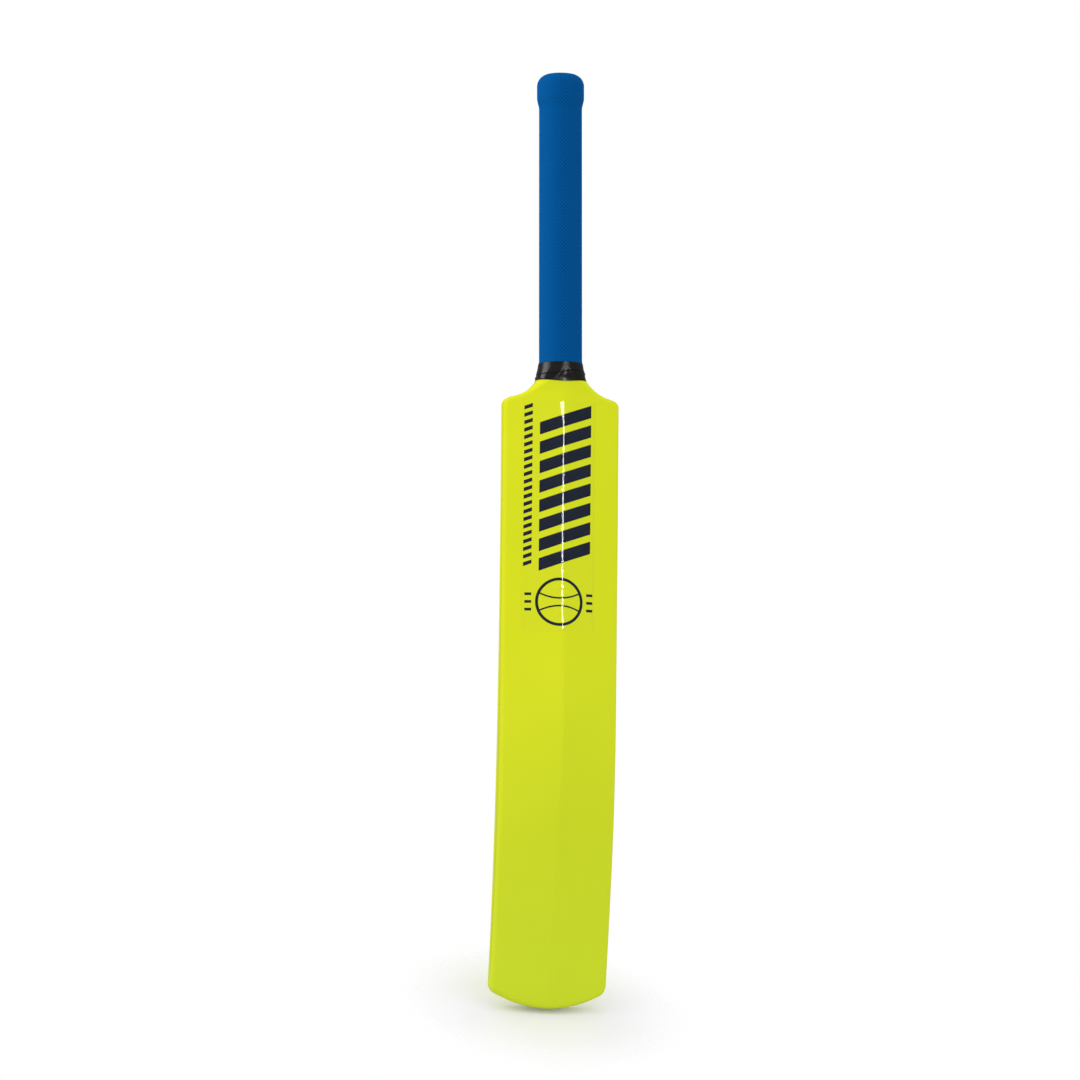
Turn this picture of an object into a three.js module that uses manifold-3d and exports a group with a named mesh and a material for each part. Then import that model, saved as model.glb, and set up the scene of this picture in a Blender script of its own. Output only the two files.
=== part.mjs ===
// Moulded plastic cricket bat: two welded blade shells, a stiffening core, a butt plug, a rubber grip,
// a tape band and a clear label. Millimetres. +Z runs up the handle, -Y is the spined back, +Y the flat
// striking face. Everything is built round the handle's axis, then centred on the floor under the bat.
import * as THREE from "three";
import { ParametricGeometry } from "three/addons/geometries/ParametricGeometry.js";
import { mergeVertices } from "three/addons/utils/BufferGeometryUtils.js";
import Module from "manifold-3d";

// Overall sizes
const LENGTH = 850; // from the toe's tip to the butt
const SHOULDER_Z = 549.8; // level that the sweep into each shoulder levels out at
const BLADE_WIDTH = 107.6;
const EDGE_DEPTH = 15; // thickness of the blade's edges
const EDGE_SWELL = { height: 4.5, z: 190, spread: 110 }; // extra thickness towards the back
const EDGE_ROUND = 3.5; // rounding along the blade's edges
const SHARPEST = 0.5; // least rounding, inside the walls
const LEAST_FLAT = 1; // flat kept between the roundings where the neck turns round
const WALL = 3; // moulded wall
const GAP = 0.25; // clearance between neighbouring pieces

// Handle, neck and shoulders
const HANDLE_R = 17.9;
const FILLET_R = 34; // concave sweep from the handle into each shoulder
const SHOULDER_SLOPE = 15; // fall from the sweep to the outer corner, in degrees
const CORNER_R = 7; // each shoulder's outer corner
const NECK_TOP = 580; // the section is round above this
const NECK_END = 552; // and fully a blade section below this

// Toe
const TOE_R = 104; // arc across the toe, seen from the back
const TOE_ROUND = 4;
const TOE_LEAN = 0.23; // rise towards the striking face, square to the bowed blade
const TOE_FADE = 70; // height over which the sections flatten out above the toe

// Bow of the blade towards the striking face, and height of the spine above the edges
const BOW = { start: 1.5, linear: 16, cubic: 37 };
const SPINE = { toe: 4, shoulder: 10, swell: 10, swellZ: 245, swellSpread: 95 };

// Grip and butt
const GRIP = { outer: 19.7, wall: 1.5, bottom: 573 };
const KNOB = { outer: 21.6, bottom: 821, widest: 828, topRound: 10.3, lipR: 10 };
const TUBE_TOP = 822; // open end of the moulded handle
const PLUG = { stemBottom: 780, buttonR: 9.2, buttonDrop: 3 };
const RIM_DROP = 0.4; // the rubber's rim stands this far below the plug's flat end

// Core, ribs, tape and label
const CORE = { bottom: 500, top: PLUG.stemBottom - GAP };
const RIBS = { count: 6, first: 70, last: 470, thick: 3 };
const TAPE = { bottom: 564, top: 581.2, thick: 0.4 };
const LABEL = { left: -37.8, right: 30, bottom: 337, top: 545.5, thick: 0.3 };

// Colours
const YELLOW = 0xd6e020;
const WOOD = 0xb98a52;
const PLUG_BLACK = 0x17191c;
const GRIP_BLUE = 0x0a4f93;
const TAPE_BLACK = 0x1b1a19;
const FILM_TINT = 0xe4eb60;

// How finely the curves are drawn
const CORNER_STEPS = 3;
const FLAT_STEPS = 4; // from the spine out to the edge
const ARC_STEPS = 7;
const BLADE_STATIONS = 12;
const ROUND_STEPS = 32;
const WELD_TOLERANCE = 1e-4;
const BEYOND = 20; // how far cutting solids run past what they cut

const wasm = await Module();
wasm.setup();

// ---- solids ----------------------------------------------------------------------------------------

// Turns a closed three.js geometry into a solid, without its zero-area triangles.
function toSolid(geometry) {
  const bare = geometry.clone();
  bare.deleteAttribute("normal");
  bare.deleteAttribute("uv");
  const merged = mergeVertices(bare, WELD_TOLERANCE);
  const corners = merged.index.array;
  const kept = [];
  for (let i = 0; i < corners.length; i += 3) {
    const [a, b, c] = corners.slice(i, i + 3);
    if (a !== b && b !== c && c !== a) {
      kept.push(a, b, c);
    }
  }
  const vertProperties = new Float32Array(merged.attributes.position.array);
  return new wasm.Manifold(new wasm.Mesh({ numProp: 3, vertProperties, triVerts: new Uint32Array(kept) }));
}

function toGeometry(solid) {
  const { vertProperties, triVerts } = solid.getMesh();
  const geometry = new THREE.BufferGeometry();
  geometry.setAttribute("position", new THREE.BufferAttribute(vertProperties, 3));
  geometry.setIndex(new THREE.BufferAttribute(triVerts, 1));
  geometry.computeVertexNormals();
  return geometry;
}

// A box between two corners.
function boxSolid([x0, y0, z0], [x1, y1, z1]) {
  const geometry = new THREE.BoxGeometry(x1 - x0, y1 - y0, z1 - z0);
  geometry.translate((x0 + x1) / 2, (y0 + y1) / 2, (z0 + z1) / 2);
  return toSolid(geometry);
}

// A solid turned about the handle's axis from an outline of radius and height, bottom first.
function turnedSolid(outline) {
  const profile = outline.map(([radius, z]) => new THREE.Vector2(radius, z));
  const geometry = new THREE.LatheGeometry(profile, ROUND_STEPS);
  geometry.rotateX(Math.PI / 2);
  return toSolid(geometry);
}

function cylinderSolid(radius, bottom, top) {
  return turnedSolid([[0, bottom], [radius, bottom], [radius, top], [0, top]]);
}

// ---- the bat's outer form --------------------------------------------------------------------------

// How far the blade's middle plane stands towards the striking face.
function bowAt(z) {
  const down = THREE.MathUtils.clamp((SHOULDER_Z - z) / SHOULDER_Z, 0, 1);
  const bladeBow = BOW.start + BOW.linear * down + BOW.cubic * down ** 3;
  return bladeBow * (1 - neckAt(z));
}

// 0 in the blade, 1 in the round handle.
function neckAt(z) {
  return THREE.MathUtils.smoothstep(z, NECK_END, NECK_TOP);
}

// Half the blade's thickness at its edges: front is 1 for the striking side, -1 for the back.
function edgeHalfAt(z, front) {
  const swell = EDGE_SWELL.height * Math.exp(-(((z - EDGE_SWELL.z) / EDGE_SWELL.spread) ** 2));
  return EDGE_DEPTH / 2 + (front < 0 ? swell : 0);
}

function spineAt(z) {
  const base = THREE.MathUtils.lerp(SPINE.toe, SPINE.shoulder, z / SHOULDER_Z);
  const swell = SPINE.swell * Math.exp(-(((z - SPINE.swellZ) / SPINE.swellSpread) ** 2));
  return (base + swell) * (1 - neckAt(z));
}

// Stations up the bat: height, half width and how far the rounded toe draws the section in.
function stationsUp(inset, top) {
  const half = BLADE_WIDTH / 2 - inset;
  const filletX = HANDLE_R + FILLET_R;
  const filletZ = SHOULDER_Z + FILLET_R;
  const cornerX = BLADE_WIDTH / 2 - CORNER_R;
  const slope = THREE.MathUtils.degToRad(SHOULDER_SLOPE);
  const run = cornerX - filletX + (FILLET_R + CORNER_R) * Math.sin(slope); // straight part between the arcs
  const cornerZ = filletZ - (FILLET_R + CORNER_R) * Math.cos(slope) - run * Math.tan(slope);
  const stations = [];
  for (let i = 0; i <= CORNER_STEPS; i++) {
    const angle = (i / CORNER_STEPS) * (Math.PI / 2);
    const pinch = TOE_ROUND * (1 - Math.sin(angle));
    stations.push({ z: inset + TOE_ROUND * (1 - Math.cos(angle)), half: half - pinch, pinch });
  }
  for (let i = 1; i < BLADE_STATIONS; i++) {
    const z = THREE.MathUtils.lerp(inset + TOE_ROUND, cornerZ, i / BLADE_STATIONS);
    stations.push({ z, half, pinch: 0 });
  }
  for (let i = 0; i <= CORNER_STEPS; i++) {
    const angle = (i / CORNER_STEPS) * (Math.PI / 2 - slope);
    const radius = CORNER_R - inset;
    const z = cornerZ + radius * Math.sin(angle);
    stations.push({ z, half: cornerX + radius * Math.cos(angle), pinch: 0 });
  }
  for (let i = 0; i <= ARC_STEPS; i++) {
    const angle = THREE.MathUtils.lerp(slope, Math.PI / 2, i / ARC_STEPS);
    const radius = FILLET_R + inset;
    const z = filletZ - radius * Math.cos(angle);
    stations.push({ z, half: filletX - radius * Math.sin(angle), pinch: 0 });
  }
  stations.push({ z: top, half: HANDLE_R - inset, pinch: 0 });
  return stations;
}

// The ring round a section, as places on a rounded rectangle: how far across (-1 left, 1 right), towards
// which face (-1 back, 1 striking face) and at what angle on the corner. It starts at the right edge's
// back corner and passes the striking face, the left edge and the spine.
function ringPlaces() {
  const quarterTurn = Math.PI / 2;
  const places = [];
  const addCorner = (across, front, quarters) => {
    for (let i = 0; i <= CORNER_STEPS; i++) {
      places.push({ across, front, angle: (quarters + i / CORNER_STEPS) * quarterTurn });
    }
  };
  const addFlat = (front, from, to) => {
    const steps = 2 * FLAT_STEPS;
    for (let i = 1; i < steps; i++) {
      places.push({ across: from + ((to - from) * i) / steps, front, angle: front * quarterTurn });
    }
  };
  addCorner(1, -1, -1);
  addCorner(1, 1, 0);
  addFlat(1, 1, -1);
  addCorner(-1, 1, 1);
  addCorner(-1, -1, 2);
  addFlat(-1, -1, 1);
  return places;
}

const RING = ringPlaces();

// The bat's outer form drawn in by an inset, or let out by a negative one, up to a given height.
function batForm(inset, top) {
  const stations = stationsUp(inset, top);
  const lastRing = stations.length;
  const surface = (u, v, target) => {
    const row = Math.round(v * (lastRing + 1));
    const station = stations[THREE.MathUtils.clamp(row - 1, 0, lastRing - 1)];
    const place = RING[Math.round(u * RING.length) % RING.length];
    const capped = row === 0 || row > lastRing;
    const neck = neckAt(station.z);
    const edgeHalf = edgeHalfAt(station.z, place.front);
    const depth = THREE.MathUtils.lerp(edgeHalf, HANDLE_R, neck) - inset - station.pinch;
    const rounding = THREE.MathUtils.smoothstep(station.z, SHOULDER_Z, NECK_TOP);
    const edgeRound = THREE.MathUtils.lerp(EDGE_ROUND, HANDLE_R - LEAST_FLAT, rounding) - inset;
    const corner = Math.max(edgeRound, SHARPEST);
    const x = place.across * (station.half - corner) + corner * Math.cos(place.angle);
    const flatY = place.front * (depth - corner) + corner * Math.sin(place.angle);
    const roof = place.front < 0 ? spineAt(station.z) * (1 - Math.abs(x) / station.half) : 0;
    const toeShare = THREE.MathUtils.clamp(1 - station.z / TOE_FADE, 0, 1);
    const z = station.z + toeShare * (TOE_R - Math.sqrt(TOE_R ** 2 - x ** 2));
    const y = capped ? 0 : flatY - roof;
    target.set(x, bowAt(z) + y, z + toeShare * TOE_LEAN * (y + EDGE_DEPTH / 2));
  };
  return toSolid(new ParametricGeometry(surface, RING.length, lastRing + 1));
}

// Everything on one side of the blade's middle plane: front is 1 for the striking side, -1 for the back.
function halfSpace(front) {
  const shape = new THREE.Shape();
  const steps = 2 * BLADE_STATIONS;
  shape.moveTo(front * BLADE_WIDTH, LENGTH + BEYOND);
  for (let i = 0; i <= steps; i++) {
    const z = THREE.MathUtils.lerp(LENGTH + BEYOND, 0, i / steps);
    shape.lineTo(bowAt(z) + (front * GAP) / 2, z);
  }
  shape.lineTo(bowAt(0) + (front * GAP) / 2, -BEYOND);
  shape.lineTo(front * BLADE_WIDTH, -BEYOND);
  const geometry = new THREE.ExtrudeGeometry(shape, { depth: 2 * BLADE_WIDTH, bevelEnabled: false });
  geometry.translate(0, 0, -BLADE_WIDTH);
  // the shape's x, y and depth become the bat's Y, Z and X
  geometry.applyMatrix4(new THREE.Matrix4().makeBasis(
    new THREE.Vector3(0, 1, 0), new THREE.Vector3(0, 0, 1), new THREE.Vector3(1, 0, 0)));
  return toSolid(geometry);
}

// ---- pieces ----------------------------------------------------------------------------------------

// Cross ribs and one long rib inside the blade, merged into the walls.
function ribs() {
  const reach = BLADE_WIDTH;
  let grid = boxSolid([-RIBS.thick / 2, -reach, RIBS.first], [RIBS.thick / 2, reach, RIBS.last]);
  for (let i = 0; i < RIBS.count; i++) {
    const z = THREE.MathUtils.lerp(RIBS.first, RIBS.last, i / (RIBS.count - 1));
    grid = grid.add(boxSolid([-reach, -reach, z - RIBS.thick / 2], [reach, reach, z + RIBS.thick / 2]));
  }
  return grid.intersect(batForm(WALL / 2, TUBE_TOP));
}

function shells() {
  const hollow = batForm(0, TUBE_TOP).subtract(batForm(WALL, TUBE_TOP + BEYOND)).add(ribs());
  return { back: hollow.intersect(halfSpace(-1)), face: hollow.intersect(halfSpace(1)) };
}

// Wooden core: round in the handle and planed down to the hollow's depth in the top of the blade.
function handleCore() {
  const round = cylinderSolid(HANDLE_R - WALL - GAP, CORE.bottom, CORE.top);
  return round.intersect(batForm(WALL + GAP, LENGTH));
}

// A quarter arc in a turned outline, from the side up and inwards.
function quarterOver(radius, top, round) {
  const points = [];
  for (let i = 0; i <= ARC_STEPS; i++) {
    const angle = (i / ARC_STEPS) * (Math.PI / 2);
    points.push([radius - round + round * Math.cos(angle), top - round + round * Math.sin(angle)]);
  }
  return points;
}

function buttPlug() {
  const stem = HANDLE_R - WALL - GAP;
  const head = KNOB.outer - GRIP.wall - GAP;
  const headTop = LENGTH - PLUG.buttonDrop;
  return turnedSolid([
    [0, PLUG.stemBottom],
    [stem, PLUG.stemBottom],
    [stem, TUBE_TOP + GAP],
    [HANDLE_R, TUBE_TOP + GAP],
    [head, KNOB.widest],
    ...quarterOver(head, headTop, KNOB.topRound - GRIP.wall),
    [PLUG.buttonR, headTop],
    [PLUG.buttonR, LENGTH],
    [0, LENGTH],
  ]);
}

// Rubber sleeve over the handle and the plug's head, with its rim turned in round the plug's button.
function grip() {
  const outside = [
    [0, GRIP.bottom],
    [GRIP.outer, GRIP.bottom],
    [GRIP.outer, KNOB.bottom],
    [KNOB.outer, KNOB.widest],
    ...quarterOver(KNOB.outer, LENGTH - RIM_DROP, KNOB.topRound),
    [0, LENGTH - RIM_DROP],
  ];
  const inner = GRIP.outer - GRIP.wall;
  const head = KNOB.outer - GRIP.wall;
  const headTop = LENGTH - PLUG.buttonDrop + GAP;
  const inside = [
    [0, GRIP.bottom - BEYOND],
    [inner, GRIP.bottom - BEYOND],
    [inner, KNOB.bottom],
    [head, KNOB.widest],
    ...quarterOver(head, headTop, KNOB.topRound - GRIP.wall),
    [KNOB.lipR, headTop],
    [KNOB.lipR, LENGTH + BEYOND],
    [0, LENGTH + BEYOND],
  ];
  return turnedSolid(outside).subtract(turnedSolid(inside)).subtract(batForm(-GAP, TUBE_TOP));
}

// Tape band: on the neck below the grip, and over the grip's lower end.
function neckTape() {
  const clearOfGrip = GRIP.outer + GAP;
  const reach = BLADE_WIDTH;
  const onNeck = batForm(-GAP - TAPE.thick, TUBE_TOP)
    .intersect(boxSolid([-reach, -reach, TAPE.bottom], [reach, reach, GRIP.bottom - GAP]));
  const overGrip = cylinderSolid(clearOfGrip + TAPE.thick, GRIP.bottom - GAP - TAPE.thick, TAPE.top);
  return onNeck
    .add(overGrip)
    .subtract(batForm(-GAP, TUBE_TOP))
    .subtract(cylinderSolid(clearOfGrip, GRIP.bottom - GAP, TAPE.top + BEYOND));
}

// Clear film folded over the spine.
function backLabel() {
  const reach = BLADE_WIDTH;
  const film = batForm(-GAP - LABEL.thick, TUBE_TOP).subtract(batForm(-GAP, TUBE_TOP + BEYOND));
  return film
    .intersect(boxSolid([LABEL.left, -reach, LABEL.bottom], [LABEL.right, reach, LABEL.top]))
    .intersect(halfSpace(-1));
}

// ---- the assembly ----------------------------------------------------------------------------------

function finish(color, roughness, opacity = 1) {
  return new THREE.MeshStandardMaterial({ color, roughness, metalness: 0, opacity, transparent: opacity < 1 });
}

const bat = new THREE.Group();

function addPiece(name, solid, material) {
  const mesh = new THREE.Mesh(toGeometry(solid), material);
  mesh.name = name;
  bat.add(mesh);
}

const blade = shells();
addPiece("back_shell", blade.back, finish(YELLOW, 0.25));
addPiece("face_shell", blade.face, finish(YELLOW, 0.25));
addPiece("handle_core", handleCore(), finish(WOOD, 0.7));
addPiece("butt_plug", buttPlug(), finish(PLUG_BLACK, 0.5));
addPiece("grip", grip(), finish(GRIP_BLUE, 0.75));
addPiece("neck_tape", neckTape(), finish(TAPE_BLACK, 0.3));
addPiece("back_label", backLabel(), finish(FILM_TINT, 0.1, 0.6));

// The origin is on the floor, under the middle of the bat's bounding box.
const box = new THREE.Box3().setFromObject(bat);
const middle = box.getCenter(new THREE.Vector3());
bat.position.set(-middle.x, -middle.y, -box.min.z);

export default bat;
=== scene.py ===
"""Looks of a moulded plastic cricket bat: yellow hollow blade, ribbed blue grip, taped neck, clear label.

Shapes are worked out in millimetres round the handle's axis, with +Z up the handle, -Y the spined back
and +Y the striking face, and are moved into the frame's metres when a mesh is made.
"""
import math

import bmesh
import bpy
import numpy as np
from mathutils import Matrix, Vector


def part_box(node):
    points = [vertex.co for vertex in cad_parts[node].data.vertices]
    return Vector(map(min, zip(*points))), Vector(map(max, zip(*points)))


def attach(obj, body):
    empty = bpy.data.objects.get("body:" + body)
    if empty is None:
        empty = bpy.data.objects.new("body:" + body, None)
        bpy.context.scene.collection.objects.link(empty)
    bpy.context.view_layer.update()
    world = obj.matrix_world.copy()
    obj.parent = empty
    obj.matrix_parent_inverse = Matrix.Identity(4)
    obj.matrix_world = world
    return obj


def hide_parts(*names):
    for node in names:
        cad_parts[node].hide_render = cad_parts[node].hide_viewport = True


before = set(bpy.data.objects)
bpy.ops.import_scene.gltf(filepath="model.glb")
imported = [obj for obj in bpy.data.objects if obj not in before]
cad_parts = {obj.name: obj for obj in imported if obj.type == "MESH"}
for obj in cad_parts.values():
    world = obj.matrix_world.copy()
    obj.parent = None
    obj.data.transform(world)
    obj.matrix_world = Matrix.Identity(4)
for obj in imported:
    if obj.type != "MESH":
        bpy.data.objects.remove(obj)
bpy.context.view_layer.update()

MM = 0.001

# Places taken from the frame, in millimetres
GRIP_LOW, GRIP_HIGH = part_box("grip")
BLADE_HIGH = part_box("face_shell")[1]
PLUG_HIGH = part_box("butt_plug")[1]
TAPE_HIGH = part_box("neck_tape")[1]
LABEL_LOW, LABEL_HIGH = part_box("back_label")
HANDLE_Y = (GRIP_LOW.y + GRIP_HIGH.y) / 2        # the handle's axis, in metres
LENGTH = PLUG_HIGH.z / MM
BLADE_HALF = BLADE_HIGH.x / MM
TUBE_TOP = BLADE_HIGH.z / MM
KNOB_R = GRIP_HIGH.x / MM
GRIP_BOTTOM = GRIP_LOW.z / MM
GRIP_TOP = GRIP_HIGH.z / MM

# The blade and neck
SHOULDER_Z = 549.8           # level that the sweep into each shoulder levels out at
EDGE_HALF = 7.5              # half the thickness of the blade's edges
EDGE_SWELL, EDGE_SWELL_Z, EDGE_SWELL_SPREAD = 4.5, 190, 110
EDGE_ROUND = 3.5
WALL = 3.0
HANDLE_R = 17.9
FILLET_R = 34                # concave sweep from the handle into each shoulder
SHOULDER_SLOPE = math.radians(15)         # fall from the sweep to the outer corner
CORNER_R = 7                 # each shoulder's outer corner
NECK_END, NECK_TOP = 552, 580
TOE_R = 104
TOE_CORNER = 5               # rounding where the toe's arc meets the edges
TOE_LEAN = 0.23              # rise towards the striking face, square to the bowed blade
TOE_FADE = 70                # height over which the rows flatten out above the toe's arc
BOW_START, BOW_LINEAR, BOW_CUBIC = 1.5, 16, 37
SPINE_TOE, SPINE_SHOULDER = 4, 10
SWELL, SWELL_Z, SWELL_SPREAD = 10, 245, 95
RIDGE_SOFT, RIDGE_SOFT_NECK = 1.3, 5.0    # half width of the spine's rounding, in the blade and at the neck
SOFTENS_FROM, SOFTENS_TO = 30, 3          # how far below the shoulders it starts and stops widening
SEAM_WIDE, SEAM_DEEP, SEAM_GAP = 0.12, 0.1, 0.01    # each side of the weld's groove
GAP = 0.25                   # clearance between neighbouring pieces
BACK, FACE = -1, 1

# How finely the blade is drawn
TOE_STEPS, BLADE_STEPS, CORNER_STEPS, SWEEP_STEPS, HANDLE_STEPS = 12, 150, 16, 36, 8
EDGE_STEPS, FLAT_STEPS = 8, 22            # across a row, round its edge and from there to the spine
EDGE_SHARE_MOST = 0.97                    # of a row's half width, that its edge rounding may take
HALVINGS = 40                             # when a place is found by halving an interval

# Centres of the two arcs of each shoulder, and the straight slope between them
FILLET_X = HANDLE_R + FILLET_R
FILLET_Z = SHOULDER_Z + FILLET_R
CORNER_X = BLADE_HALF - CORNER_R
SLOPE_RUN = CORNER_X - FILLET_X + (FILLET_R + CORNER_R) * math.sin(SHOULDER_SLOPE)
SLOPE_LENGTH = SLOPE_RUN / math.cos(SHOULDER_SLOPE)
CORNER_Z = FILLET_Z - (FILLET_R + CORNER_R) * math.cos(SHOULDER_SLOPE) - SLOPE_RUN * math.tan(SHOULDER_SLOPE)


# ---- form of the blade and neck ----------------------------------------------------------------------

def smooth(value, low, high):
    t = np.clip((value - low) / (high - low), 0, 1)
    return t * t * (3 - 2 * t)


def mix(a, b, t):
    return a + (b - a) * t


def bell(value, centre, spread):
    return np.exp(-((value - centre) / spread) ** 2)


def neck_share(z):
    """0 in the blade, 1 in the round handle."""
    return smooth(z, NECK_END, NECK_TOP)


def bow(z):
    """How far the blade's middle plane stands towards the striking face."""
    down = np.clip((SHOULDER_Z - z) / SHOULDER_Z, 0, 1)
    return (BOW_START + BOW_LINEAR * down + BOW_CUBIC * down ** 3) * (1 - neck_share(z))


def spine(z):
    base = mix(SPINE_TOE, SPINE_SHOULDER, z / SHOULDER_Z)
    return (base + SWELL * bell(z, SWELL_Z, SWELL_SPREAD)) * (1 - neck_share(z))


def ridge_softness(z):
    heights = (SHOULDER_Z - SOFTENS_FROM, SHOULDER_Z - SOFTENS_TO)
    return np.interp(z, heights, (RIDGE_SOFT, RIDGE_SOFT_NECK))


def outline_distance(x, z):
    """How far inside the bat's outline a point lies, seen square to the striking face."""
    x = np.abs(x)
    sine, cosine = math.sin(SHOULDER_SLOPE), math.cos(SHOULDER_SLOPE)
    along = (x - FILLET_X) * cosine - (z - FILLET_Z) * sine        # down the slope, from the end of the sweep
    under_slope = -(x - FILLET_X) * sine - (z - FILLET_Z) * cosine - FILLET_R
    in_corner = (along > SLOPE_LENGTH) & (x > CORNER_X) & (z > CORNER_Z)
    side = np.where(in_corner, CORNER_R - np.hypot(x - CORNER_X, z - CORNER_Z), BLADE_HALF - x)
    shoulder = np.where(along < 0, np.hypot(x - FILLET_X, z - FILLET_Z) - FILLET_R, under_slope)
    shoulder = np.where(along > SLOPE_LENGTH, BLADE_HALF, shoulder)
    sweep = np.where(z < FILLET_Z, shoulder, HANDLE_R - x)
    toe = np.where(z < TOE_R, TOE_R - np.hypot(x, z - TOE_R), BLADE_HALF)
    rounded = TOE_CORNER - np.hypot(np.maximum(TOE_CORNER - side, 0), np.maximum(TOE_CORNER - toe, 0))
    lower = np.where((side < TOE_CORNER) & (toe < TOE_CORNER), rounded, np.minimum(side, toe))
    return np.minimum(lower, sweep)


def edge_rounding(z):
    return mix(EDGE_ROUND, HANDLE_R - 2 * SEAM_WIDE, smooth(z, SHOULDER_Z, NECK_TOP))


def half_depth(x, z, towards):
    """Thickness from the middle plane to one side, without the spine."""
    swell = EDGE_SWELL * bell(z, EDGE_SWELL_Z, EDGE_SWELL_SPREAD) if towards == BACK else 0
    flat = mix(EDGE_HALF + swell, HANDLE_R, neck_share(z))
    rounding = edge_rounding(z)
    outside = np.clip(rounding - outline_distance(x, z), 0, rounding)
    return flat - rounding + np.sqrt(rounding ** 2 - outside ** 2)


def roof(x, z):
    """Height of the spined back above its edges."""
    return np.maximum(spine(z) * (1 - np.sqrt(x ** 2 + ridge_softness(z) ** 2) / BLADE_HALF), 0)


def back_y(x, z):
    return bow(z) - half_depth(x, z, BACK) - roof(x, z)


def face_y(x, z):
    return bow(z) + half_depth(x, z, FACE)


def body_radius(azimuth, z):
    """Distance from the handle's axis out to the neck's surface, by halving the interval."""
    low = np.zeros(np.broadcast(azimuth, z).shape)
    high = low + BLADE_HALF
    for _ in range(HALVINGS):
        middle = (low + high) / 2
        x, y = middle * np.sin(azimuth), -middle * np.cos(azimuth)
        inside = (outline_distance(x, z) >= 0) & (y >= back_y(x, z)) & (y <= face_y(x, z))
        low, high = np.where(inside, middle, low), np.where(inside, high, middle)
    return low


# ---- mesh helpers ------------------------------------------------------------------------------------

def make_piece(name, points, faces, material, stands_for=(), tone=None):
    """A mesh piece from points in millimetres round the handle's axis, with a tone for each if given, which
    its material uses for painted shade.
    """
    points = np.asarray(points, float).reshape(-1, 3) * MM
    points[:, 1] += HANDLE_Y
    mesh = bpy.data.meshes.new(name)
    mesh.from_pydata(points.tolist(), [], [tuple(f) for f in faces])
    mesh.materials.append(material)
    if tone is not None:
        mesh.attributes.new("tone", "FLOAT", "POINT").data.foreach_set("value", np.ravel(tone).astype(float))
    cleaned = bmesh.new()
    cleaned.from_mesh(mesh)
    bmesh.ops.remove_doubles(cleaned, verts=cleaned.verts, dist=2e-6)
    bmesh.ops.dissolve_degenerate(cleaned, edges=cleaned.edges, dist=1e-6)
    bmesh.ops.recalc_face_normals(cleaned, faces=cleaned.faces)
    for face in cleaned.faces:
        face.smooth = True
    cleaned.to_mesh(mesh)
    cleaned.free()
    piece = bpy.data.objects.new(name, mesh)
    bpy.context.scene.collection.objects.link(piece)
    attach(piece, "root")
    if stands_for:
        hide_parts(*stands_for)
    return piece


def grid_faces(rows, columns, start=0, ring=False):
    """Quads of a grid of points. A ring joins its last column to its first."""
    faces = []
    across = columns if ring else columns - 1
    for r in range(rows - 1):
        for c in range(across):
            d = (c + 1) % columns
            low, high = start + r * columns, start + (r + 1) * columns
            faces.append((low + c, low + d, high + d, high + c))
    return faces


def closed_sheet(outer, inner):
    """Points and faces of a slab between two grids of the same size."""
    rows, columns = outer.shape[:2]
    count = rows * columns
    faces = grid_faces(rows, columns) + grid_faces(rows, columns, start=count)
    border = [(0, c) for c in range(columns)] + [(r, columns - 1) for r in range(1, rows)]
    border += [(rows - 1, c) for c in range(columns - 2, -1, -1)] + [(r, 0) for r in range(rows - 2, 0, -1)]
    flat = [r * columns + c for r, c in border]
    for a, b in zip(flat, flat[1:] + flat[:1]):
        faces.append((a, b, b + count, a + count))
    return np.concatenate([outer.reshape(-1, 3), inner.reshape(-1, 3)]), faces


# ---- blade shells ------------------------------------------------------------------------------------

def quarter_steps(count):
    return np.linspace(0, math.pi / 2, count + 1)


def station_heights():
    """Heights up the bat, close together where the outline turns."""
    toe = 2 * EDGE_ROUND * (1 - np.cos(quarter_steps(TOE_STEPS)))
    blade = np.linspace(2 * EDGE_ROUND, CORNER_Z, BLADE_STEPS)[1:-1]
    corner = CORNER_Z + CORNER_R * np.sin(np.linspace(0, math.pi / 2 - SHOULDER_SLOPE, CORNER_STEPS))
    sweep = FILLET_Z - FILLET_R * np.cos(np.linspace(SHOULDER_SLOPE, math.pi / 2, SWEEP_STEPS))
    handle = np.linspace(FILLET_Z, TUBE_TOP, HANDLE_STEPS)[1:]
    return np.concatenate([toe, blade, corner, sweep, handle])


def toe_height(station, x):
    """Rows follow the toe's arc at the bottom and flatten out above it."""
    return station + (TOE_R - np.sqrt(TOE_R ** 2 - x ** 2)) * np.clip(1 - station / TOE_FADE, 0, 1)


def half_width(station):
    """Where a row meets the outline, by halving the interval."""
    low, high = 0, BLADE_HALF
    for _ in range(HALVINGS):
        middle = (low + high) / 2
        inside = outline_distance(np.array(middle), toe_height(station, middle)) >= -1e-7
        low, high = (middle, high) if inside else (low, middle)
    return low


def row_places(station):
    """Places across a row from the outline to the spine and out to the other side."""
    half = half_width(station)
    rounding = min(edge_rounding(station), half * EDGE_SHARE_MOST)
    near_edge = half - rounding * (1 - np.cos(quarter_steps(EDGE_STEPS)))
    flat = (half - rounding) * np.linspace(1, 0, FLAT_STEPS)[1:] ** 2
    side = np.concatenate([near_edge, flat])
    return np.concatenate([side, -side[-2::-1]])


def inwards(x, z):
    """Unit direction from the outline into the bat, seen square to the striking face."""
    step = 0.01
    across = outline_distance(x + step, z) - outline_distance(x - step, z)
    up = outline_distance(x, z + step) - outline_distance(x, z - step)
    return np.stack([across, up]) / np.hypot(across, up)


def weld_groove(x, z, towards):
    """The root and lip of the groove where the shells meet, for places on the outline."""
    dx, dz = inwards(x, z)
    root = np.stack([x + SEAM_DEEP * dx, bow(z) + towards * SEAM_GAP, z + SEAM_DEEP * dz], axis=-1)
    lip = np.stack([x, bow(z) + towards * SEAM_WIDE, z], axis=-1)
    return root, lip


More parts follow.
